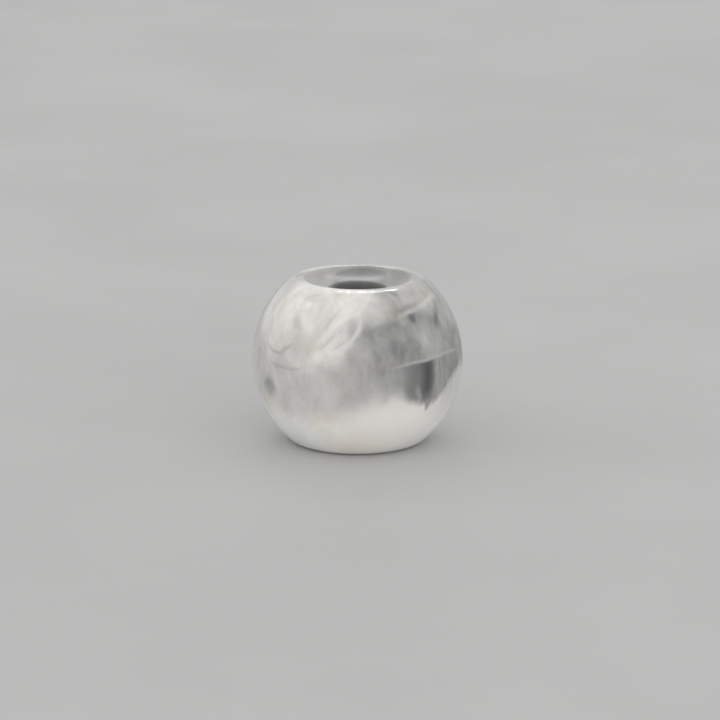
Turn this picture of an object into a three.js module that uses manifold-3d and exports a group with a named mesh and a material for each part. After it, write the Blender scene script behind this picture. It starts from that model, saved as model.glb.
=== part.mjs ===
// A large-hole bead, turned and polished from marbled resin.
//
// Clear resin and white resin were poured together, so the bead is one bonded block of several solids:
// a clear body, a white pour that fills its lower third, and five white streams that the turned surface
// cuts through. Millimetres, +Z up along the stringing hole, origin at the bead's centre.

import * as THREE from 'three';
import { mergeVertices } from 'three/addons/utils/BufferGeometryUtils.js';
import Module from 'manifold-3d';

const wasm = await Module();
wasm.setup();

// Driving dimensions.
const BALL_RADIUS = 7.5; // the bead is widest at mid-height
const HALF_HEIGHT = 5.9; // from the centre to either ground end face
const SHOULDER_ROUND = 1.3; // between the ball and an end face
const DISH_RADIUS = 3.85; // rim of the shallow dish round each mouth of the hole
const DISH_DEPTH = 0.75;
const DISH_FULLNESS = 0.72; // share of its depth where the dish's two end slopes meet, halfway in
const HOLE_RADIUS = 2.05; // straight stringing hole
const LIP_ROUND = 0.12; // at the dish's rim and at the mouth of the hole
const BOND_LINE = 0.05; // clearance between two resins that are bonded on the real bead

// Facets.
const SIDES = 54; // round the whole bead
const BALL_STEPS = 13; // up the ball
const ROUND_STEPS = 2; // over a small rounded edge
const DISH_STEPS = 3; // across the dish

// The white pour: its level in the bead, and where it climbs the wall or dips (a height below zero).
// A swell is `height` at its middle and falls away over `spread` degrees to either side.
const POUR_LEVEL = -1.25;
const POUR_SWELLS = [
  { longitude: 80, height: 1.25, spread: 24 },
  { longitude: 36, height: -0.25, spread: 18 },
  { longitude: -150, height: 0.7, spread: 40 },
];
const POUR_REACH = 1.1 * BALL_RADIUS; // the pour's solid runs past the wall before it is trimmed to it
const POUR_RINGS = 6; // facets from the wall to the axis

// White streams that run along the surface: where each goes, as [longitude, latitude] in degrees, and
// the radius of its round section. Longitude 0 is the front (-Y) and 90 is +X.
const STREAMS = {
  white_curl_stream: { radius: 0.36, route: [[-79, 25], [-70, 16], [-56, 8], [-40, 5], [-25, 8]] },
  white_centre_stream: { radius: 0.5, route: [[2, 40], [-4, 34], [-9, 26], [-13, 17]] },
  white_fold_stream: { radius: 0.3, route: [[30, 33], [38, 33.5], [52, 36], [70, 40.5]] },
  white_thread_stream: { radius: 0.24, route: [[20, 6], [32, 8.5], [48, 9.5], [70, 9]] },
};
const STREAM_STEPS = 14;
const STREAM_SIDES = 4; // in each half of the section

// The white cloud breaks the surface at the upper left: rounded lobes, each as its place on the ball,
// its radius along the surface and its depth into the resin.
const CLOUD_LOBES = [
  { longitude: -58, latitude: 32, radius: 1.75, depth: 1.5 },
  { longitude: -37, latitude: 36, radius: 1.7, depth: 1.8 },
  { longitude: -33, latitude: 23, radius: 1.25, depth: 1.3 },
];
const LOBE_SIDES = 18;
const LOBE_RINGS = 12;

const DEGREES = Math.PI / 180;

/** A closed three.js geometry as a manifold solid. */
function solidOf(geometry) {
  const bare = geometry.index ? geometry.toNonIndexed() : geometry.clone();
  bare.deleteAttribute('normal');
  bare.deleteAttribute('uv');
  const merged = mergeVertices(bare);
  return new wasm.Manifold(new wasm.Mesh({
    numProp: 3,
    vertProperties: new Float32Array(merged.attributes.position.array),
    triVerts: new Uint32Array(merged.index.array),
  }));
}

/** A manifold solid as a three.js geometry. */
function geometryOf(solid) {
  const mesh = solid.getMesh();
  const geometry = new THREE.BufferGeometry();
  geometry.setAttribute('position', new THREE.BufferAttribute(mesh.vertProperties, 3));
  geometry.setIndex(new THREE.BufferAttribute(mesh.triVerts, 1));
  geometry.computeVertexNormals();
  return geometry;
}

/** A profile of (radius, height) points turned about Z. */
function turned(profile, sides) {
  return new THREE.LatheGeometry(profile, sides).rotateX(Math.PI / 2);
}

/** The point under the ball's surface at a longitude and latitude in degrees. */
function onBall(longitude, latitude, depth = 0) {
  const reach = BALL_RADIUS - depth;
  const level = reach * Math.cos(latitude * DEGREES);
  return new THREE.Vector3(
    level * Math.sin(longitude * DEGREES),
    -level * Math.cos(longitude * DEGREES),
    reach * Math.sin(latitude * DEGREES),
  );
}

/** Points along an arc, from one angle to another in radians. */
function arc(centre, radius, from, to, steps) {
  const points = [];
  for (let i = 0; i <= steps; i += 1) {
    const angle = from + (to - from) * i / steps;
    points.push(new THREE.Vector2(
      centre.x + radius * Math.cos(angle),
      centre.y + radius * Math.sin(angle),
    ));
  }
  return points;
}

/** A corner replaced by a small round that starts and ends `radius` from it along its two sides. */
function eased(before, corner, after, radius) {
  const start = before.clone().sub(corner).setLength(radius).add(corner);
  const end = after.clone().sub(corner).setLength(radius).add(corner);
  return new THREE.QuadraticBezierCurve(start, corner, end).getPoints(ROUND_STEPS);
}

/** The upper half of the bead's section, from its widest point up, over the end and down the hole. */
function upperProfile() {
  const shoulderHeight = HALF_HEIGHT - SHOULDER_ROUND;
  const shoulderRadius = Math.sqrt((BALL_RADIUS - SHOULDER_ROUND) ** 2 - shoulderHeight ** 2);
  const shoulder = new THREE.Vector2(shoulderRadius, shoulderHeight);
  const shoulderAngle = shoulder.angle();

  const faceEdge = new THREE.Vector2(shoulderRadius, HALF_HEIGHT);
  const dishRim = new THREE.Vector2(DISH_RADIUS, HALF_HEIGHT);
  const hollow = new THREE.Vector2((DISH_RADIUS + HOLE_RADIUS) / 2, HALF_HEIGHT - DISH_FULLNESS * DISH_DEPTH);
  const holeMouth = new THREE.Vector2(HOLE_RADIUS, HALF_HEIGHT - DISH_DEPTH);
  const holeMiddle = new THREE.Vector2(HOLE_RADIUS, 0);

  const rim = eased(faceEdge, dishRim, hollow, LIP_ROUND);
  const mouth = eased(hollow, holeMouth, holeMiddle, LIP_ROUND);
  const dish = new THREE.QuadraticBezierCurve(rim.at(-1), hollow, mouth[0]).getPoints(DISH_STEPS);
  return [
    ...arc(new THREE.Vector2(), BALL_RADIUS, 0, shoulderAngle, BALL_STEPS),
    ...arc(shoulder, SHOULDER_ROUND, shoulderAngle, Math.PI / 2, ROUND_STEPS * 2).slice(1),
    ...rim,
    ...dish.slice(1, -1),
    ...mouth,
    holeMiddle,
  ];
}

/** The whole bead, before the two resins are told apart. */
function beadSolid() {
  const upper = upperProfile();
  const lower = upper.slice(1, -1).reverse().map((point) => new THREE.Vector2(point.x, -point.y));
  return solidOf(turned([...upper, ...lower, upper[0]], SIDES));
}

/** How far the white pour's surface stands above its level at a longitude in degrees. */
function pourSwell(longitude) {
  let swell = 0;
  for (const { longitude: middle, height, spread } of POUR_SWELLS) {
    const away = THREE.MathUtils.euclideanModulo(longitude - middle + 180, 360) - 180;
    swell += height * Math.exp(-((away / spread) ** 4));
  }
  return swell;
}

/** Everything below the white pour's surface, raised by `lift`. The swells die out towards the axis. */
function pourSolid(lift) {
  const profile = [new THREE.Vector2(0, -POUR_REACH), new THREE.Vector2(POUR_REACH, -POUR_REACH)];
  for (let ring = 0; ring <= POUR_RINGS; ring += 1) {
    profile.push(new THREE.Vector2(POUR_REACH * (1 - ring / POUR_RINGS), POUR_LEVEL + lift));
  }
  const geometry = turned(profile, SIDES);
  const { position } = geometry.attributes;
  for (let i = 0; i < position.count; i += 1) {
    const [x, y, z] = [position.getX(i), position.getY(i), position.getZ(i)];
    const onTop = z > POUR_LEVEL - BOND_LINE;
    if (onTop) {
      const outward = Math.hypot(x, y) / BALL_RADIUS;
      position.setZ(i, z + pourSwell(Math.atan2(x, -y) / DEGREES) * outward ** 2);
    }
  }
  return solidOf(geometry);
}

/** A stream along the ball's surface: a round section, swept, that the surface cuts in half. */
function streamSolid({ radius, route }, margin) {
  const points = route.map(([longitude, latitude]) => onBall(longitude, latitude));
  const section = new THREE.Shape().absarc(0, 0, radius + margin, 0, 2 * Math.PI);
  return solidOf(new THREE.ExtrudeGeometry(section, {
    extrudePath: new THREE.CatmullRomCurve3(points),
    steps: STREAM_STEPS,
    curveSegments: STREAM_SIDES,
    bevelEnabled: false,
  }));
}

/** The cloud's lobes, joined: each is a sphere flattened along the ball's radius. */
function cloudSolid(margin) {
  const lobes = CLOUD_LOBES.map(({ longitude, latitude, radius, depth }) => {
    const centre = onBall(longitude, latitude);
    const lobe = new THREE.SphereGeometry(1, LOBE_SIDES, LOBE_RINGS)
      .scale(radius + margin, radius + margin, depth + margin)
      .lookAt(centre)
      .translate(centre.x, centre.y, centre.z);
    return solidOf(lobe);
  });
  return lobes.reduce((joined, lobe) => joined.add(lobe));
}

/** One named sub-part. */
function piece(name, solid, material) {
  const mesh = new THREE.Mesh(geometryOf(solid), material);
  mesh.name = name;
  return mesh;
}

const clearResin = () => new THREE.MeshStandardMaterial({ color: 0xb4b7b8, roughness: 0.06, metalness: 0 });
const whiteResin = () => new THREE.MeshStandardMaterial({ color: 0xe4e2dc, roughness: 0.12, metalness: 0 });

const whole = beadSolid();
const bead = new THREE.Group();

let clearBody = whole.subtract(pourSolid(BOND_LINE)).subtract(cloudSolid(BOND_LINE));
bead.add(piece('white_base_pour', whole.intersect(pourSolid(0)), whiteResin()));
bead.add(piece('white_cloud_stream', whole.intersect(cloudSolid(0)), whiteResin()));
for (const [name, stream] of Object.entries(STREAMS)) {
  clearBody = clearBody.subtract(streamSolid(stream, BOND_LINE));
  bead.add(piece(name, whole.intersect(streamSolid(stream, 0)), whiteResin()));
}
bead.add(piece('clear_resin_body', clearBody, clearResin()));

export default bead;
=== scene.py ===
import math
from collections import namedtuple

import bmesh
import bpy
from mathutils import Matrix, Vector


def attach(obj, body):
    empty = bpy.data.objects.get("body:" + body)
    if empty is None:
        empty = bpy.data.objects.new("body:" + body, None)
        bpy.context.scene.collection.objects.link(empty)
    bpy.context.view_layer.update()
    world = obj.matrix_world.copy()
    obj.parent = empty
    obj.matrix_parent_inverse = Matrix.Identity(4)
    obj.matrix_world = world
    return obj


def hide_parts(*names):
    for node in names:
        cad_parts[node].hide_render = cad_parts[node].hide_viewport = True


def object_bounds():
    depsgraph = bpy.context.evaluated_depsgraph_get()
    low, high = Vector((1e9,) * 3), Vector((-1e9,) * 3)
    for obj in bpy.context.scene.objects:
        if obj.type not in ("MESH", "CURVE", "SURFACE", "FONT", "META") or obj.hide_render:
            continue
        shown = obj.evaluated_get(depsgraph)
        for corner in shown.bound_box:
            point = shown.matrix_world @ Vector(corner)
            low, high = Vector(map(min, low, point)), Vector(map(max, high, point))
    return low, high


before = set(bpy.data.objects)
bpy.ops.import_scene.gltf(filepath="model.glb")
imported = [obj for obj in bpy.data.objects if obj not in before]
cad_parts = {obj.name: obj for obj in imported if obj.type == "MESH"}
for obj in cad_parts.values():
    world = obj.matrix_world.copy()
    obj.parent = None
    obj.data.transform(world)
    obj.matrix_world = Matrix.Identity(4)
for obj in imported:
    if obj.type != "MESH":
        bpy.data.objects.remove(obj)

CAD_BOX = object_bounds()

# The bead's form, in metres. The outside comes from the frame.
BALL_RADIUS = (CAD_BOX[1].x - CAD_BOX[0].x) / 2
HALF_HEIGHT = CAD_BOX[1].z
SHOULDER_ROUND = 0.0013
DISH_RADIUS = 0.00385
DISH_DEPTH = 0.00075
DISH_FULLNESS = 0.72  # share of its depth where the dish's two end slopes meet, halfway in
HOLE_RADIUS = 0.00205
LIP_ROUND = 0.00012  # at the dish's rim and at the mouth of the hole

# The shoulder's round: where its centre is, and the angle at which the ball runs into it.
SHOULDER_HEIGHT = HALF_HEIGHT - SHOULDER_ROUND
SHOULDER_RADIUS = math.sqrt((BALL_RADIUS - SHOULDER_ROUND) ** 2 - SHOULDER_HEIGHT ** 2)
SHOULDER_ANGLE = math.atan2(SHOULDER_HEIGHT, SHOULDER_RADIUS)

# Facets.
SIDES = 256  # round the bead
BALL_STEPS = 48  # up the ball, from its widest point to the shoulder
SHOULDER_STEPS = 14
FACE_STEPS = 4  # across a flat end face
LIP_STEPS = 6
DISH_STEPS = 12
HOLE_STEPS = 12  # from a mouth of the hole to its middle


# ---------------------------------------------------------------- places and profiles


def on_ball(longitude, latitude, depth=0.0):
    """A point in bead radii. Longitude 0 is the front (-Y) and 90 is +X; depth is below the surface."""
    turn, tilt = math.radians(longitude), math.radians(latitude)
    level = (1 - depth) * math.cos(tilt)
    return Vector((level * math.sin(turn), -level * math.cos(turn), (1 - depth) * math.sin(tilt)))


def arc(centre, radius, start, end, steps):
    """Points (radius, height) along an arc between two angles in radians."""
    points = []
    for i in range(steps + 1):
        angle = start + (end - start) * i / steps
        points.append((centre[0] + radius * math.cos(angle), centre[1] + radius * math.sin(angle)))
    return points


def bent(start, middle, end, steps):
    """Points along a curve that leaves start towards middle and reaches end from it."""
    start, middle, end = Vector(start), Vector(middle), Vector(end)
    points = []
    for i in range(steps + 1):
        t = i / steps
        points.append(tuple(start * (1 - t) ** 2 + middle * 2 * t * (1 - t) + end * t ** 2))
    return points


def eased(before, corner, after):
    """A corner as a small round that starts and ends LIP_ROUND away from it along its two sides."""
    corner = Vector(corner)
    start = corner + (Vector(before) - corner).normalized() * LIP_ROUND
    end = corner + (Vector(after) - corner).normalized() * LIP_ROUND
    return bent(start, corner, end, LIP_STEPS)


def stretch(start, end, steps):
    """Points between two points, without the first and the last."""
    start, end = Vector(start), Vector(end)
    return [tuple(start.lerp(end, i / steps)) for i in range(1, steps)]


def upper_profile():
    """The upper half of the bead's section, from its widest point, over the end and down the hole."""
    face_edge = (SHOULDER_RADIUS, HALF_HEIGHT)
    rim = (DISH_RADIUS, HALF_HEIGHT)
    hollow = ((DISH_RADIUS + HOLE_RADIUS) / 2, HALF_HEIGHT - DISH_FULLNESS * DISH_DEPTH)
    mouth = (HOLE_RADIUS, HALF_HEIGHT - DISH_DEPTH)
    middle = (HOLE_RADIUS, 0.0)
    round_rim = eased(face_edge, rim, hollow)
    round_mouth = eased(hollow, mouth, middle)

    points = arc((0, 0), BALL_RADIUS, 0, SHOULDER_ANGLE, BALL_STEPS)
    shoulder = (SHOULDER_RADIUS, SHOULDER_HEIGHT)
    points += arc(shoulder, SHOULDER_ROUND, SHOULDER_ANGLE, math.pi / 2, SHOULDER_STEPS)[1:]
    points += stretch(face_edge, round_rim[0], FACE_STEPS)
    points += round_rim
    points += bent(round_rim[-1], hollow, round_mouth[0], DISH_STEPS)[1:-1]
    points += round_mouth
    points += stretch(round_mouth[-1], middle, HOLE_STEPS)
    return points + [middle]


# ---------------------------------------------------------------- objects


def linked(name, data):
    """An object with this data, in the scene."""
    made = bpy.data.objects.new(name, data)
    bpy.context.scene.collection.objects.link(made)
    return made


def look(holder, direction):
    """Turns a camera or a lamp to look in a direction."""
    holder.rotation_mode = "QUATERNION"
    holder.rotation_quaternion = direction.to_track_quat("-Z", "Y")


def finished(name, made):
    """A bmesh as a smooth object in the scene."""
    bmesh.ops.recalc_face_normals(made, faces=made.faces)
    mesh = bpy.data.meshes.new(name)
    made.to_mesh(mesh)
    made.free()
    for polygon in mesh.polygons:
        polygon.use_smooth = True
    return linked(name, mesh)


def turned(name, profile):
    """A closed profile of (radius, height) points turned about Z."""
    made = bmesh.new()
    rings = []
    for radius, height in profile:
        ring = []
        for i in range(SIDES):
            angle = 2 * math.pi * i / SIDES
            ring.append(made.verts.new((radius * math.cos(angle), radius * math.sin(angle), height)))
        rings.append(ring)
    for i, ring in enumerate(rings):
        above = rings[(i + 1) % len(rings)]
        for j in range(SIDES):
            k = (j + 1) % SIDES
            made.faces.new((ring[j], ring[k], above[k], above[j]))
    return finished(name, made)


# ---------------------------------------------------------------- where the white resin runs

# The white solids inside, in bead radii and degrees.
POUR_LEVEL = -0.165
POUR_SWELLS = ((80, 0.167, 24), (36, -0.033, 18), (-150, 0.093, 40))  # longitude, height, spread
POUR_SHARPNESS = 4  # power with which a swell falls away beside its middle
POUR_SKIN = 0.012  # depth of clear resin over the pour
STREAMS = {  # route as (longitude, latitude), radius, depth of the route
    "white_curl_stream": (((-79, 25), (-70, 16), (-56, 8), (-40, 5), (-25, 8)), 0.022, 0.07),
    "white_centre_stream": (((2, 40), (-4, 34), (-9, 26), (-13, 17)), 0.03, 0.08),
    "white_fold_stream": (((30, 33), (38, 33.5), (52, 36), (70, 40.5)), 0.014, 0.04),
    "white_thread_stream": (((20, 6), (32, 8.5), (48, 9.5), (70, 9)), 0.011, 0.04),
}
STREAM_TIP = 0.15  # share of a stream's radius that is left at its two ends
CLOUD_LOBES = (  # longitude, latitude, radius, depth
    (-58, 32, 0.22, 0.2),
    (-37, 36, 0.22, 0.24),
    (-33, 23, 0.16, 0.17),
)
CLOUD_SKIN = 0.04  # how much deeper than its own depth each lobe's centre lies
CLOUD_VOXEL = 0.00012  # metres

# The marbling, painted in this order. A tone is how light the resin looks: 0 is black, 1 is white.
# Lengths are in bead radii, and places are (longitude, latitude) in degrees.
MID_TONE = 0.6
VEIL_DRAW = (1.0, 1.0, 0.6)  # a noise scaled down in Z makes shapes drawn out upright
SMEAR_DRAW = (1.0, 1.0, 0.18)
FLOW_FADE, FLOW_THINNEST = (0.3, 0.6), 0.45  # strokes thin out to this where a noise is low
DISPLAY_GAMMA = 1.9  # power that turns a tone into a share of reflected light
Patch = namedtuple("Patch", "place radius soft tone")
Stroke = namedtuple("Stroke", "start middle end width tone strength")

PATCHES = (
    Patch((-70, 5), 0.2, 0.75, 0.79),  # milky left side
    Patch((-33, 0), 0.22, 0.3, 0.785),
    Patch((-2, 7), 0.18, 0.22, 0.71),
    Patch((10, -3), 0.04, 0.16, 0.70),
    Patch((11, 9), 0.03, 0.15, 0.59),
    Patch((-60, 38), 0.12, 0.45, 0.87),  # dense cloud
    Patch((-34, 44), 0.16, 0.35, 0.90),
    Patch((-20, 24), 0.13, 0.22, 0.86),
    Patch((-5, 46), 0.12, 0.22, 0.88),
    Patch((14, 40), 0.06, 0.18, 0.79),  # its tail towards the right
    Patch((53, 50), 0.16, 0.2, 0.67),  # grey lens at the upper right
    Patch((41, 23), 0.04, 0.14, 0.66),
    Patch((57, 17), 0.05, 0.12, 0.58),
    Patch((72, 14), 0.06, 0.25, 0.56),
    Patch((20, 19), 0.07, 0.2, 0.57),  # clearer middle
    Patch((-57, -8), 0.07, 0.07, 0.62),  # small clear spots
    Patch((37, 32), 0.01, 0.065, 0.50),
    Patch((150, 20), 0.3, 0.6, 0.83),  # clouds at the back
    Patch((-140, 38), 0.15, 0.45, 0.86),
    Patch((-170, -2), 0.1, 0.4, 0.60),
    Patch((108, 8), 0.1, 0.35, 0.60),
)

THREAD = Stroke((18, 7), (45, 10), (76, 9), 0.022, 0.68, 0.7)  # over the window's top edge
STROKES = (
    Stroke((-77, 43), (-74, 23), (-55, 8), 0.035, 0.85, 0.6),  # curls round the cloud
    Stroke((-61, 10), (-49, 5), (-33, 5), 0.03, 0.83, 0.6),
    Stroke((-59, 16), (-52, 12), (-43, 13), 0.03, 0.68, 0.9),
    Stroke((-47, 12), (-43, 16), (-35, 19), 0.045, 0.70, 0.8),
    Stroke((-56, 7), (-43, 5), (-30, 8), 0.03, 0.67, 0.9),
    Stroke((-69, 40), (-69, 30), (-63, 18), 0.035, 0.77, 0.6),
    Stroke((-44, 36), (-38, 27), (-33, 17), 0.09, 0.77, 0.9),  # hollows in the cloud
    Stroke((-11, 40), (-17, 35), (-22, 26), 0.035, 0.77, 0.8),
    Stroke((-45, 41), (-38, 46), (-31, 48), 0.025, 0.80, 0.8),
    Stroke((-28, 34), (-27, 39), (-23, 45), 0.022, 0.82, 0.7),
    Stroke((-60, 47), (-55, 30), (-52, 17), 0.09, 0.89, 0.6),  # its bright folds
    Stroke((0, 38), (-15, 30), (-25, 17), 0.042, 0.92, 0.9),  # leaf at the middle of the front
    Stroke((2, 38), (-2, 24), (-16, 13), 0.045, 0.86, 0.8),
    Stroke((11, 51), (4, 43), (-1, 36), 0.045, 0.91, 0.8),
    Stroke((-7, 30), (-13, 22), (-18, 15), 0.02, 0.89, 0.8),
    Stroke((-13, 27), (-17, 22), (-21, 17), 0.018, 0.75, 0.8),
    Stroke((-4, 26), (-9, 21), (-14, 17), 0.02, 0.76, 0.7),
    Stroke((-5, 34), (-4, 31), (-5, 27), 0.03, 0.74, 0.8),
    Stroke((-24, 12), (-14, 12), (-6, 15), 0.03, 0.80, 0.6),
    Stroke((15, 49), (27, 44), (29, 36), 0.05, 0.80, 0.35),  # edge of the tail
    Stroke((20, 52), (27, 50), (34, 45), 0.065, 0.56, 0.9),
    Stroke((31, 35), (50, 39), (79, 44), 0.036, 0.80, 0.75),  # fold under the lens
    Stroke((43, 36), (62, 40), (80, 42), 0.03, 0.78, 0.6),
    Stroke((28, 38), (36, 39.5), (50, 42), 0.04, 0.58, 0.9),
    Stroke((72, 41), (61, 33), (54, 25), 0.06, 0.46, 0.9),  # upright smears at the right
    Stroke((71, 32), (68, 22), (65, 13), 0.03, 0.55, 0.7),
    Stroke((12, 31), (9, 28), (7, 23), 0.025, 0.55, 0.5),
    Stroke((120, 40), (150, 22), (178, 30), 0.05, 0.9, 0.8),  # clouds at the back
    Stroke((125, 30), (150, 12), (180, 18), 0.04, 0.72, 0.7),
    Stroke((-170, 44), (-142, 24), (-112, 30), 0.05, 0.9, 0.8),
    Stroke((-165, 34), (-140, 16), (-108, 22), 0.03, 0.72, 0.7),
    Stroke((-120, 10), (-100, 2), (-82, 6), 0.03, 0.84, 0.6),
)
BRIGHT_SPOTS = (Patch((-37, 41), 0.01, 0.035, 0.96), Patch((-22, 14), 0.02, 0.07, 0.9))
# Painted shade: the clear window is painted dark for the dark surroundings seen through it.
WINDOW_SHADE_TONE = 0.57
WINDOW_EDGE = -0.035  # height under the thread at which the window is fully there
WINDOW_FADE = (0.2, 0.6)  # it comes in between these distances to the right
WINDOW_STROKES = (
    Stroke((35, 16), (36, 0), (36, -16), 0.34, 0.49, 0.9),  # painted shade: darker middle
    Stroke((41, 22), (41, 4), (42, -15), 0.13, 0.39, 0.9),
    Stroke((34, -3), (36, -10), (38, -18), 0.05, 0.62, 0.7),
    Stroke((47, 6), (47.5, -1), (48, -8), 0.03, 0.62, 0.8),  # streak of milk at its right
    Stroke((51, 12), (51, 2), (52, -8), 0.014, 0.48, 0.7),
)

# Where the painted surface of the pour rises and sinks.
Swell = namedtuple("Swell", "place radius soft height")
Dip = namedtuple("Dip", "start middle end width depth")
PAINTED_SWELLS = (
    Swell((88, 0), 0.3, 0.35, 0.16),
    Swell((2, -6), 0.3, 0.2, 0.05),
)
PAINTED_DIPS = (
    Dip((41, 10), (42, -10), (43, -30), 0.34, 0.1),
    Dip((42, 4), (42.5, -12), (43, -26), 0.05, 0.08),
)
PAINTED_LEVEL = POUR_LEVEL - 0.005
POUR_UNEVEN, POUR_STREAKED = 0.2, 0.018  # how much a noise and the smears move it
SOFT_LEFT, SOFT_RIGHT = 0.22, 0.055  # half the height over which its surface fades
POUR_SHARPENS = (-0.4, 0.7)  # from left to right, where one gives way to the other
MILK_BOTTOM, MILK_TOP = 0.98, 0.80  # its tone at the bead's foot and at its own surface; the foot is painted lighter, as painted light that makes up for the shade there
MILK_FADE = (-0.6, POUR_LEVEL + 0.04)  # heights between which its tone changes
FLAME = Stroke((44, -25), (54, -10), (66, 0), 0.05, 0.9, 0.7)  # bright edge of the pour as it climbs
# Painted light: a lighter patch low on the front right of the pour.
MILK_PAINTED_LIGHT = Patch((22, -36), 0.2, 0.5, 0.955)

# The dish and the hole. The hole's wall, as it shows through the far side of the dish, is painted into
# the dish's tone as a ghost with a dark ring and light bands; the hole is painted dark deep down as
# painted shade.
BORE_INNER, BORE_OUTER = 0.49, 0.53  # radii between which their paint gives way to the marbling
DISH_LEFT, DISH_RIGHT = 0.69, 0.62  # tones
DISH_FADE = (-0.3, 0.3)  # from left to right, where one gives way to the other
# Painted see-through image: the hole's wall as it shows through the far side of the dish.
GHOST_CENTRE = (0.02, 0.21, 0)
GHOST_RADIUS, GHOST_SOFT, GHOST_PAINTED_TONE = 0.2, 0.09, 0.53
GHOST_RIM, GHOST_RIM_WIDTH = 0.25, 0.045  # painted dark ring round the ghost
GHOST_RIM_PAINTED_TONE, GHOST_RIM_STRENGTH = 0.5, 0.7
BAND_PLACE, BAND_WIDTH = 0.3, 0.05  # painted light bands to either side of it
BAND_PAINTED_TONE, BAND_STRENGTH = 0.76, 0.4
BEHIND_FADE = (0.1, 0.4)  # ring and bands are only on the far side, from here on
# Painted shade: the hole is painted dark, darkest deep down.
HOLE_PAINTED_SHADE = 0.4
HOLE_SHADE_FADE = (0.5, 0.69)  # heights between which the painted shade deep in the hole gives way to the dish's tone

# Tints, laid over the tone, and where the milk has a warm blush as (place, radius, soft).
COOL = (0.98, 0.99, 1.0)  # of the clear resin
COOL_FADE = (0.45, 0.65)  # tones between which it gives way to the milk's tints
CREAM = (1.0, 0.985, 0.945)
BLUSH = (1.0, 0.95, 0.87)
BLUSH_PLACES = (((95, -5), 0.2, 0.4), ((-5, -42), 0.1, 0.3))
BLUSH_FADE = (0.55, 0.75)  # elsewhere it comes in between these values of a noise

# Gloss and clearness, on the outside and in the bore.
POLISH, BORE_ROUGHNESS = 0.012, 0.3
SHINE, BORE_SHINE = 0.5, 0.2
MOST_CLEAR, BORE_CLEAR = 0.6, 0.15  # share of light let through
CLEAR_FADE = (0.3, 0.64)  # outside, only the resin darker than these tones is clear
RESIN_IOR = 1.5

RIGHT, BACK = (90, 0), (180, 0)
UP = (0, 0, 1)


# ---------------------------------------------------------------- node graphs

NOISE_LOW, NOISE_HIGH = 0.3, 0.7  # most of a noise lies between these
SKEW_AXIS, SKEW_ANGLE = (1, 2, 3), 0.9  # turn of the noise, so that its grid doesn't lie along the bead
LINE_FULL, LINE_END = 0.4, 1.1  # a stroke fades between these shares of its half length


def arc_points(stroke):
    """A stroke's start, middle and end as points on the ball."""
    return [on_ball(*place) for place in (stroke.start, stroke.middle, stroke.end)]


def plane_through(start, middle, end):
    """The plane through three points: its unit normal and its distance from the bead's centre."""
    normal = (middle - start).cross(end - start).normalized()
    return normal, normal.dot(start)


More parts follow.
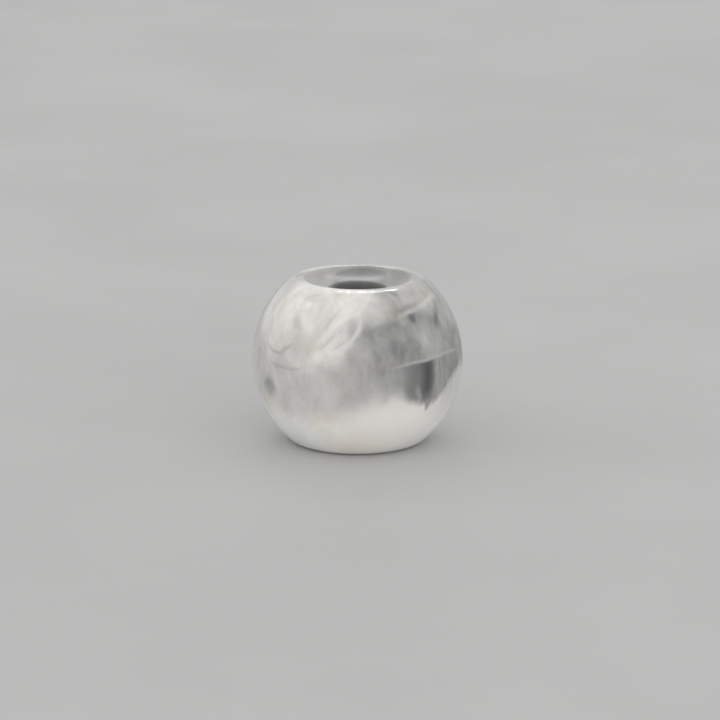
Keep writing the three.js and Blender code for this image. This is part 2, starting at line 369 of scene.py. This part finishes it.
class Graph:
    """Builds one material's nodes. A value may be a socket, a number or a vector."""

    def __init__(self, name):
        self.material = bpy.data.materials.new(name)
        self.material.use_nodes = True
        self.tree = self.material.node_tree
        self.shader = self.tree.nodes["Principled BSDF"]

    def feed(self, socket, value):
        """Links a socket to another, or sets it to a number or a vector."""
        if isinstance(value, bpy.types.NodeSocket):
            self.tree.links.new(value, socket)
        elif socket.type == "RGBA":
            socket.default_value = (*value, 1)
        else:
            socket.default_value = value

    def node(self, kind, inputs, **settings):
        """A new node with its inputs fed and its settings made."""
        made = self.tree.nodes.new(kind)
        for key, value in settings.items():
            setattr(made, key, value)
        for key, value in inputs.items():
            self.feed(made.inputs[key], value)
        return made

    def place(self):
        """Where a point is, in bead radii from the bead's centre."""
        coords = self.node("ShaderNodeTexCoord", {})
        return self.vector("SCALE", coords.outputs["Object"], scale=1 / BALL_RADIUS)

    def flat(self, at):
        """at, moved to the bead's middle plane."""
        return self.vector("MULTIPLY", at, (1, 1, 0))

    def along(self, at, direction):
        """How far a point lies in a direction, in bead radii."""
        return self.vector("DOT_PRODUCT", at, direction)

    def math(self, operation, a, b=0.0, c=0.0):
        """The result of a math operation on up to three numbers."""
        return self.node("ShaderNodeMath", {0: a, 1: b, 2: c}, operation=operation).outputs[0]

    def vector(self, operation, a, b=None, scale=None):
        """The result of a vector operation: a number for a distance, a length or a dot product."""
        inputs = {0: a}
        if b is not None:
            inputs[1] = b
        if scale is not None:
            inputs["Scale"] = scale
        made = self.node("ShaderNodeVectorMath", inputs, operation=operation)
        scalar = operation in ("DISTANCE", "LENGTH", "DOT_PRODUCT")
        return made.outputs["Value" if scalar else "Vector"]

    def noise(self, at, scale, detail=4.0, roughness=0.5, distortion=0.0, colour=False):
        """Noise from 0 to 1."""
        turn = {"Vector": at, "Axis": SKEW_AXIS, "Angle": SKEW_ANGLE}
        skewed = self.node("ShaderNodeVectorRotate", turn)
        inputs = {"Vector": skewed.outputs[0], "Scale": scale, "Detail": detail, "Roughness": roughness}
        made = self.node("ShaderNodeTexNoise", {**inputs, "Distortion": distortion})
        return made.outputs["Color" if colour else "Fac"]

    def warped(self, at, scale, amount):
        """at, pushed about by a noise of this scale, by up to about amount."""
        push = self.vector("SUBTRACT", self.noise(at, scale, detail=3.0, colour=True), (0.5, 0.5, 0.5))
        return self.vector("ADD", at, self.vector("SCALE", push, scale=2 * amount))

    def rise(self, value, low, high, to_low=0.0, to_high=1.0):
        """A smooth step from to_low to to_high as value goes from low to high."""
        made = self.node(
            "ShaderNodeMapRange",
            {"Value": value, "From Min": low, "From Max": high, "To Min": to_low, "To Max": to_high},
            interpolation_type="SMOOTHSTEP",
        )
        return made.outputs[0]

    def spread(self, noise, low=-1.0, high=1.0):
        """A noise stretched to run from about low to about high."""
        return self.rise(noise, NOISE_LOW, NOISE_HIGH, low, high)

    def glow(self, at, centre, radius, soft):
        """1 within radius of centre, fading to 0 over soft."""
        away = self.vector("DISTANCE", at, centre)
        return self.rise(away, radius, radius + soft, 1.0, 0.0)

    def line(self, at, stroke):
        """1 along the middle of a stroke on the ball, fading to its sides and its two ends."""
        start, middle, end = arc_points(stroke)
        normal, offset = plane_through(start, middle, end)
        bend = math.sqrt(1 - offset ** 2)
        width = self.band(self.along(at, normal), offset, stroke.width * bend)
        reach = max((start - middle).length, (end - middle).length)
        away = self.vector("DISTANCE", at, middle)
        length = self.rise(away, LINE_FULL * reach, LINE_END * reach, 1.0, 0.0)
        return self.product(width, length)

    def band(self, value, middle, width):
        """1 where value is middle, fading to 0 where it is width away from it."""
        away = self.math("ABSOLUTE", self.math("SUBTRACT", value, middle))
        return self.rise(away, 0.0, width, 1.0, 0.0)

    def plus(self, value, pattern, strength):
        """value with a share of a pattern added."""
        return self.math("MULTIPLY_ADD", pattern, strength, value)

    def mix_value(self, share, a, b):
        """The number a where share is 0 and b where it is 1."""
        return self.node("ShaderNodeMix", {0: share, 2: a, 3: b}).outputs[0]

    def mix(self, share, a, b):
        """The colour a where share is 0 and b where it is 1."""
        made = self.node("ShaderNodeMix", {0: share, 6: a, 7: b}, data_type="RGBA")
        return made.outputs[2]

    def product(self, *values):
        """All the values multiplied."""
        result = values[0]
        for value in values[1:]:
            result = self.math("MULTIPLY", result, value)
        return result

    def most(self, *values):
        """The largest of the values."""
        result = values[0]
        for value in values[1:]:
            result = self.math("MAXIMUM", result, value)
        return result


# ---------------------------------------------------------------- the clear body


def veils(graph, at):
    """Wisps of white drawn out by the pour, from about -1 to 1."""
    drawn = graph.vector("MULTIPLY", graph.warped(at, scale=1.6, amount=0.2), VEIL_DRAW)
    return graph.spread(graph.noise(drawn, scale=4.0, detail=6.0, roughness=0.6, distortion=0.2))


def smears(graph, at):
    """Fine upright streaks, from about -1 to 1."""
    drawn = graph.vector("MULTIPLY", graph.warped(at, scale=3.0, amount=0.04), SMEAR_DRAW)
    return graph.spread(graph.noise(drawn, scale=9.0, detail=3.0))


def window(graph, at):
    """1 in the clear window at the right. Its top edge is sharp and it fades towards the front."""
    normal, offset = plane_through(*arc_points(THREAD))
    if normal.z < 0:
        normal, offset = -normal, -offset
    height = graph.math("SUBTRACT", graph.along(at, normal), offset)
    under = graph.rise(height, WINDOW_EDGE, 0.0, 1.0, 0.0)
    sideways = graph.rise(graph.along(at, on_ball(*RIGHT)), *WINDOW_FADE)
    return graph.product(under, sideways)


def pour(graph, at):
    """1 in the white pour. Its surface is uneven, dips in front and climbs the wall at the right."""
    lifts = []
    for swell in PAINTED_SWELLS:
        near = graph.glow(at, on_ball(*swell.place), swell.radius, swell.soft)
        lifts.append(graph.product(near, swell.height))
    for dip in PAINTED_DIPS:
        lifts.append(graph.product(graph.line(at, dip), -dip.depth))
    uneven = graph.math("SUBTRACT", graph.noise(at, scale=2.2, detail=5.0), 0.5)
    lifts.append(graph.product(uneven, POUR_UNEVEN))
    lifts.append(graph.product(smears(graph, at), POUR_STREAKED))
    height = graph.along(at, UP)
    for lift in lifts:
        height = graph.math("SUBTRACT", height, lift)
    soft = graph.rise(graph.along(at, on_ball(*RIGHT)), *POUR_SHARPENS, SOFT_LEFT, SOFT_RIGHT)
    low = graph.math("SUBTRACT", PAINTED_LEVEL, soft)
    high = graph.math("ADD", PAINTED_LEVEL, soft)
    return graph.rise(height, low, high, 1.0, 0.0)


def patched(graph, at, tone, patches):
    """A tone with soft patches over it."""
    for patch in patches:
        share = graph.glow(at, on_ball(*patch.place), patch.radius, patch.soft)
        tone = graph.mix_value(share, tone, patch.tone)
    return tone


def painted(graph, at, tone, strokes, flow=1.0):
    """A tone with strokes over it. The strokes thin out where flow is under 1."""
    for stroke in strokes:
        share = graph.product(graph.line(at, stroke), stroke.strength, flow)
        tone = graph.mix_value(share, tone, stroke.tone)
    return tone


def smoky_tone(graph, at, soft, fine, wisps, streaks):
    """The tone of the upper resin: patches, then wisps and smears, then strokes and bright spots."""
    tone = patched(graph, soft, MID_TONE, PATCHES)
    tone = graph.plus(tone, wisps, strength=0.05)
    tone = graph.plus(tone, streaks, strength=0.02)
    flow = graph.rise(graph.noise(at, scale=5.0), *FLOW_FADE, to_low=FLOW_THINNEST)
    tone = painted(graph, fine, tone, STROKES, flow)
    return patched(graph, fine, tone, BRIGHT_SPOTS)


def window_tone(graph, fine, wisps, streaks):
    """The tone of the clear window, painted dark as painted shade for the dark surroundings seen through
    the clear resin.
    """
    tone = graph.plus(WINDOW_SHADE_TONE, wisps, strength=0.03)
    tone = graph.plus(tone, streaks, strength=0.03)
    return painted(graph, graph.warped(fine, scale=4.0, amount=0.04), tone, WINDOW_STROKES)


def milk_tone(graph, at, soft, fine, wisps):
    """The tone of the white pour, painted lighter towards the bead's foot and in a patch low at the
    front right, as painted light.
    """
    # painted light: lighter towards the bead's foot
    tone = graph.rise(graph.along(at, UP), *MILK_FADE, MILK_BOTTOM, MILK_TOP)
    tone = graph.plus(tone, wisps, strength=0.035)
    tone = patched(graph, soft, tone, (MILK_PAINTED_LIGHT,))
    return painted(graph, fine, tone, (FLAME,))


def marbling(graph, at):
    """The tone of the resin at a point."""
    soft = graph.warped(at, scale=1.8, amount=0.07)
    fine = graph.warped(graph.warped(at, scale=2.6, amount=0.03), scale=9.0, amount=0.004)
    wisps = veils(graph, at)
    streaks = smears(graph, at)
    tone = smoky_tone(graph, at, soft, fine, wisps, streaks)
    # the clear window, painted dark as painted shade
    tone = graph.mix_value(window(graph, fine), tone, window_tone(graph, fine, wisps, streaks))
    tone = painted(graph, fine, tone, (THREAD,))
    tone = graph.mix_value(pour(graph, fine), tone, milk_tone(graph, at, soft, fine, wisps))
    # the dish and the hole, with their painted see-through image and painted shade
    return graph.mix_value(bore(graph, at), tone, mouth(graph, at))


def bore(graph, at):
    """1 on the dish and in the hole."""
    away = graph.vector("LENGTH", graph.flat(at))
    return graph.rise(away, BORE_INNER, BORE_OUTER, 1.0, 0.0)


def mouth(graph, at):
    """The tone of the dish and the hole, with a painted see-through image of the hole's wall on the dish
    and painted shade deep in the hole.
    """
    sideways = graph.along(at, on_ball(*RIGHT))
    behind = graph.rise(graph.along(at, on_ball(*BACK)), *BEHIND_FADE)
    tone = graph.rise(sideways, *DISH_FADE, DISH_LEFT, DISH_RIGHT)
    # painted see-through image of the hole's wall, with its dark ring and light bands
    ghost = graph.glow(graph.flat(at), GHOST_CENTRE, GHOST_RADIUS, GHOST_SOFT)
    tone = graph.mix_value(ghost, tone, GHOST_PAINTED_TONE)
    bands = graph.band(graph.math("ABSOLUTE", sideways), BAND_PLACE, BAND_WIDTH)
    tone = graph.mix_value(graph.product(bands, BAND_STRENGTH, behind), tone, BAND_PAINTED_TONE)
    away = graph.vector("DISTANCE", graph.flat(at), GHOST_CENTRE)
    rim = graph.band(away, GHOST_RIM, GHOST_RIM_WIDTH)
    tone = graph.mix_value(graph.product(rim, GHOST_RIM_STRENGTH, behind), tone, GHOST_RIM_PAINTED_TONE)
    tone = graph.plus(tone, veils(graph, at), strength=0.02)
    # painted shade: the tone darkens deep in the hole
    shallow = graph.rise(graph.along(at, UP), *HOLE_SHADE_FADE)
    return graph.mix_value(shallow, HOLE_PAINTED_SHADE, tone)


def scatter(shader, weight, reach):
    """Lets light wander under the surface, by reach metres in red, green and blue."""
    shader.inputs["Subsurface Weight"].default_value = weight
    shader.inputs["Subsurface Radius"].default_value = reach
    shader.inputs["Subsurface Scale"].default_value = 1.0


def tint(graph, at, tone):
    """The resin's colour at full light: cool where it is clear, cream with a blush where it is milky."""
    patches = [graph.rise(graph.noise(at, scale=2.6, detail=2.0), *BLUSH_FADE)]
    patches += [graph.glow(at, on_ball(*place), radius, soft) for place, radius, soft in BLUSH_PLACES]
    milky = graph.mix(graph.most(*patches), CREAM, BLUSH)
    return graph.mix(graph.rise(tone, *COOL_FADE), COOL, milky)


def clear_resin():
    """The polished body: marbling in its skin, with painted shade in the window and the hole, a painted
    see-through image on the dish and painted light at the pour's foot; clearer where the tone is dark.
    """
    graph = Graph("marbled_clear_resin")
    at = graph.place()
    tone = marbling(graph, at)
    inside = bore(graph, at)
    light = graph.math("POWER", tone, DISPLAY_GAMMA)
    clear = graph.rise(tone, *CLEAR_FADE, MOST_CLEAR, 0.0)
    inputs = graph.shader.inputs
    graph.feed(inputs["Base Color"], graph.vector("SCALE", tint(graph, at, tone), scale=light))
    graph.feed(inputs["Transmission Weight"], graph.mix_value(inside, clear, BORE_CLEAR))
    graph.feed(inputs["Roughness"], graph.mix_value(inside, POLISH, BORE_ROUGHNESS))
    graph.feed(inputs["Specular IOR Level"], graph.mix_value(inside, SHINE, BORE_SHINE))
    graph.feed(inputs["IOR"], RESIN_IOR)
    scatter(graph.shader, weight=0.7, reach=(0.0015, 0.0015, 0.0014))
    return graph.material


def clear_body():
    """The whole bead as one polished skin."""
    upper = upper_profile()
    lower = [(radius, -height) for radius, height in reversed(upper[1:-1])]
    piece = turned("polished_resin_body", upper + lower)
    piece.data.materials.append(clear_resin())
    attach(piece, "root")
    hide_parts("clear_resin_body")


# ---------------------------------------------------------------- the white resin inside

VEIN_COLOUR = (0.82, 0.81, 0.79)
MILK_COLOUR = (0.92, 0.91, 0.88)
POUR_SHOULDER_STEPS = 8
POUR_WALL_STEPS = 40
POUR_SURFACE_STEPS = 16


def white_resin():
    """Milky resin with faint veins."""
    graph = Graph("milky_white_resin")
    veins = graph.noise(graph.warped(graph.place(), scale=3.0, amount=0.1), scale=5.0, detail=5.0)
    colour = graph.mix(graph.spread(veins, low=0.0), VEIN_COLOUR, MILK_COLOUR)
    graph.feed(graph.shader.inputs["Base Color"], colour)
    graph.feed(graph.shader.inputs["Roughness"], 0.5)
    scatter(graph.shader, weight=0.6, reach=(0.0012, 0.0011, 0.001))
    return graph.material


def pour_swell(longitude):
    """How far the pour's surface stands above its level at the wall, in bead radii."""
    swell = 0.0
    for middle, height, spread in POUR_SWELLS:
        away = (longitude - middle + 180) % 360 - 180
        swell += height * math.exp(-((away / spread) ** POUR_SHARPNESS))
    return swell


def pour_height(longitude, radius):
    """The height of the pour's surface, in metres. Its swells die out towards the axis."""
    return (POUR_LEVEL + pour_swell(longitude) * (radius / BALL_RADIUS) ** 2) * BALL_RADIUS


def pour_column(longitude):
    """The pour's section at one longitude: over the foot, up the ball, in over its surface."""
    skin = BALL_RADIUS * POUR_SKIN
    ball = BALL_RADIUS - skin
    hole = HOLE_RADIUS + skin
    top = pour_height(longitude, BALL_RADIUS)
    shoulder = (SHOULDER_RADIUS, -SHOULDER_HEIGHT)

    column = [(hole, skin + DISH_DEPTH - HALF_HEIGHT), (DISH_RADIUS, skin - HALF_HEIGHT)]
    column += arc(shoulder, SHOULDER_ROUND - skin, -math.pi / 2, -SHOULDER_ANGLE, POUR_SHOULDER_STEPS)
    column += arc((0, 0), ball, -SHOULDER_ANGLE, math.asin(top / ball), POUR_WALL_STEPS)[1:]
    edge = column[-1][0]
    for i in range(1, POUR_SURFACE_STEPS + 1):
        radius = edge + (hole - edge) * i / POUR_SURFACE_STEPS
        column.append((radius, pour_height(longitude, radius)))
    return column


def white_pour(material):
    """The white base: one section for each longitude, joined to the next."""
    made = bmesh.new()
    columns = []
    for i in range(SIDES):
        longitude = 360 * i / SIDES
        turn = math.radians(longitude)
        columns.append([
            made.verts.new((radius * math.sin(turn), -radius * math.cos(turn), height))
            for radius, height in pour_column(longitude)
        ])
    for i, column in enumerate(columns):
        following = columns[(i + 1) % SIDES]
        for j in range(len(column)):
            k = (j + 1) % len(column)
            made.faces.new((column[j], following[j], following[k], column[k]))
    piece = finished("milky_base", made)
    piece.data.materials.append(material)
    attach(piece, "root")
    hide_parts("white_base_pour")


def white_stream(node, route, radius, depth, material):
    """A tapering strand of white resin that follows the surface a little way below it."""
    curve = bpy.data.curves.new(node + "_strand", "CURVE")
    curve.dimensions = "3D"
    curve.bevel_depth = radius * BALL_RADIUS
    curve.bevel_resolution = 4
    curve.resolution_u = 16
    curve.use_fill_caps = True
    spline = curve.splines.new("BEZIER")
    spline.bezier_points.add(len(route) - 1)
    for point, (longitude, latitude) in zip(spline.bezier_points, route):
        point.co = on_ball(longitude, latitude, depth) * BALL_RADIUS
        point.handle_left_type = "AUTO"
        point.handle_right_type = "AUTO"
    spline.bezier_points[0].radius = STREAM_TIP
    spline.bezier_points[-1].radius = STREAM_TIP
    piece = linked(node + "_strand", curve)
    curve.materials.append(material)
    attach(piece, "root")
    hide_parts(node)


def white_cloud(material):
    """The cloud's dense core: smooth lobes joined by a voxel remesh, under the surface."""
    made = bmesh.new()
    for longitude, latitude, radius, depth in CLOUD_LOBES:
        lobe = bmesh.ops.create_icosphere(made, subdivisions=4, radius=1.0)["verts"]
        centre = on_ball(longitude, latitude, depth + CLOUD_SKIN)
        outward = centre.to_track_quat("Z", "Y").to_matrix()
        for vertex in lobe:
            flat = Vector((vertex.co.x * radius, vertex.co.y * radius, vertex.co.z * depth))
            vertex.co = (centre + outward @ flat) * BALL_RADIUS
    piece = finished("dense_cloud", made)
    remesh = piece.modifiers.new("join", "REMESH")
    remesh.mode = "VOXEL"
    remesh.voxel_size = CLOUD_VOXEL
    smooth = piece.modifiers.new("soften", "SMOOTH")
    smooth.iterations = 12
    piece.data.materials.append(material)
    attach(piece, "root")
    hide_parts("white_cloud_stream")


def white_pieces():
    """All the white resin inside the bead."""
    material = white_resin()
    white_pour(material)
    white_cloud(material)
    for node, (route, radius, depth) in STREAMS.items():
        white_stream(node, route, radius, depth, material)


# ---------------------------------------------------------------- camera, floor and light

ELEVATION = math.radians(14)
DISTANCE = 36.1 * BALL_RADIUS
HALF_FRAME = 3.415 * BALL_RADIUS  # half the picture's width, at the bead
AIM = Vector((0.0247, 0, -0.0195)) * BALL_RADIUS

FLOOR_HALF_SIZE = 1.5
FLOOR_DARK = (0.52, 0.52, 0.515)
FLOOR_LIGHT = (0.55, 0.55, 0.545)
SURROUNDINGS = (0.84, 0.84, 0.84, 1)
STRIP_LAMPS = 18
STRIP_PITCH = 0.013


def camera():
    """A long lens a little above the bead."""
    made = bpy.data.cameras.new("camera")
    made.lens = made.sensor_width / 2 * DISTANCE / HALF_FRAME
    made.clip_start = 0.01
    holder = linked("camera", made)
    back = Vector((0, -math.cos(ELEVATION), math.sin(ELEVATION)))
    holder.location = AIM + back * DISTANCE
    look(holder, -back)
    bpy.context.scene.camera = holder


def floor():
    """A wide pale floor, under the bead's lower end face."""
    made = bmesh.new()
    bmesh.ops.create_grid(made, x_segments=8, y_segments=8, size=FLOOR_HALF_SIZE)
    piece = finished("floor", made)
    piece.location.z = CAD_BOX[0].z
    graph = Graph("pale_floor")
    shade = graph.spread(graph.noise(graph.place(), scale=0.3), low=0.0)
    graph.feed(graph.shader.inputs["Base Color"], graph.mix(shade, FLOOR_DARK, FLOOR_LIGHT))
    graph.feed(graph.shader.inputs["Roughness"], 0.8)
    piece.data.materials.append(graph.material)


def softbox(name, place, size, power):
    """A rectangular lamp that faces the bead."""
    made = bpy.data.lights.new(name, "AREA")
    made.shape = "RECTANGLE"
    made.size, made.size_y = size
    made.energy = power
    holder = linked(name, made)
    holder.location = place
    look(holder, -Vector(place))
    return holder


def lamp_strip():
    """A long row of small lamps behind and above, seen only as a row of glints on the shoulder."""
    for i in range(STRIP_LAMPS):
        across = (i - (STRIP_LAMPS - 1) / 2) * STRIP_PITCH
        lamp = softbox("strip_lamp", place=(across, 0.35, 0.35), size=(0.004, 0.016), power=0.028)
        lamp.visible_diffuse = False
        lamp.visible_transmission = False


def lights():
    """Even light from all round, a soft fill in front and the lamp strip behind."""
    world = bpy.data.worlds.new("studio")
    world.use_nodes = True
    world.node_tree.nodes["Background"].inputs["Color"].default_value = SURROUNDINGS
    bpy.context.scene.world = world
    fill = softbox("front", place=(0.12, -0.5, 0.05), size=(0.4, 0.3), power=0.65)
    fill.visible_glossy = False
    lamp_strip()


camera()
floor()
lights()
clear_body()
white_pieces()

bpy.context.scene.view_settings.view_transform = "Standard"
